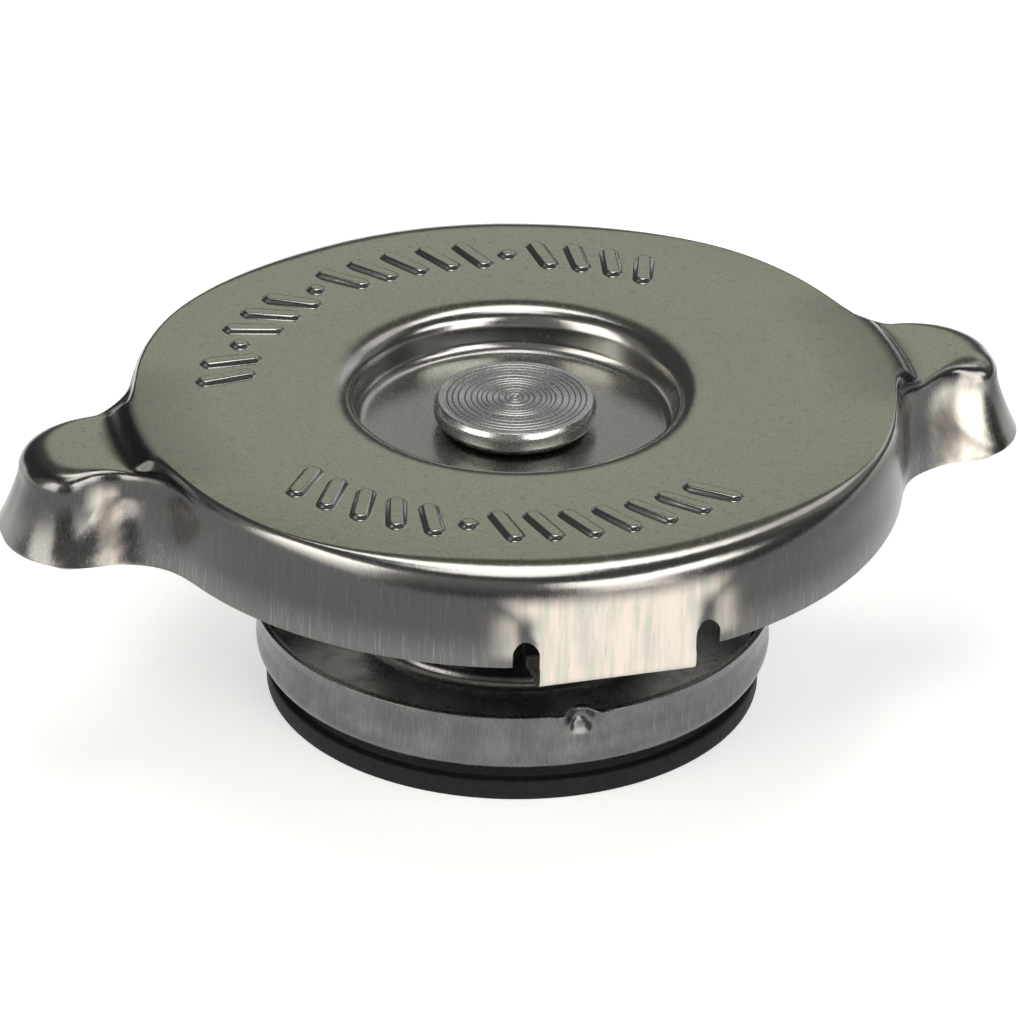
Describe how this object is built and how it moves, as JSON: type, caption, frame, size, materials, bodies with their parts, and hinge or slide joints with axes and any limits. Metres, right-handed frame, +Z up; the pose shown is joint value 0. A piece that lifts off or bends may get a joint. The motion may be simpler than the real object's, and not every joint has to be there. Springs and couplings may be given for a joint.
{
  "type": "radiator pressure cap",
  "caption": "Stamped steel radiator pressure cap with round cover, side ears, bayonet lugs, central rivet and a spring-loaded valve cup with rubber gasket.",
  "frame": {"origin": "centre of the lower gasket's flat bottom face, on the rivet's axis", "axes": "+Z up along the rivet's axis to the cover, +X through one ear, -Y through the bayonet lug that faces the camera"},
  "size_m": [0.0864, 0.0644, 0.0273],
  "materials": {
    "tinned_steel": "bright tinned sheet steel with drawing marks",
    "zinc_plated_rivet": "zinc plated, head turned in rings",
    "plated_steel": "satin plated pressed steel",
    "dark_plated_steel": "dark oiled steel",
    "spring_steel": "drawn spring wire",
    "friction_disc_steel": "bright spring steel sheet",
    "brass": "turned brass",
    "black_rubber": "matt moulded rubber"
  },
  "bodies": {
    "valve_body": {"valve_cup": "plated_steel", "main_gasket": "black_rubber", "valve_seat": "friction_disc_steel", "main_spring": "spring_steel", "vacuum_spring": "spring_steel"},
    "bell": {"bell_housing": "dark_plated_steel", "spacer_washer": "plated_steel", "rivet_washer": "plated_steel", "friction_disc": "friction_disc_steel"},
    "cover": {"cover_shell": "tinned_steel", "center_rivet": "zinc_plated_rivet"},
    "vacuum": {"vacuum_valve": "brass", "vacuum_seal": "black_rubber", "spring_keeper": "brass"}
  },
  "joints": [
    {"name": "pressure_valve_lift", "type": "slide", "parent": "valve_body", "child": "bell", "axis": [0, 0, -1], "range_m": [0, 0.002], "stiffness_N_per_m": 3600, "springref_m": -0.0005, "deforming": ["main_spring"]},
    {"name": "cover_swivel", "type": "hinge", "parent": "bell", "child": "cover", "pos_m": [0, 0, 0.0205], "axis": [0, 0, 1], "continuous": true},
    {"name": "vacuum_valve_drop", "type": "slide", "parent": "valve_body", "child": "vacuum", "axis": [0, 0, -1], "range_m": [0, 0.0012], "stiffness_N_per_m": 300, "springref_m": -0.0005, "deforming": ["vacuum_spring"]}
  ]
}
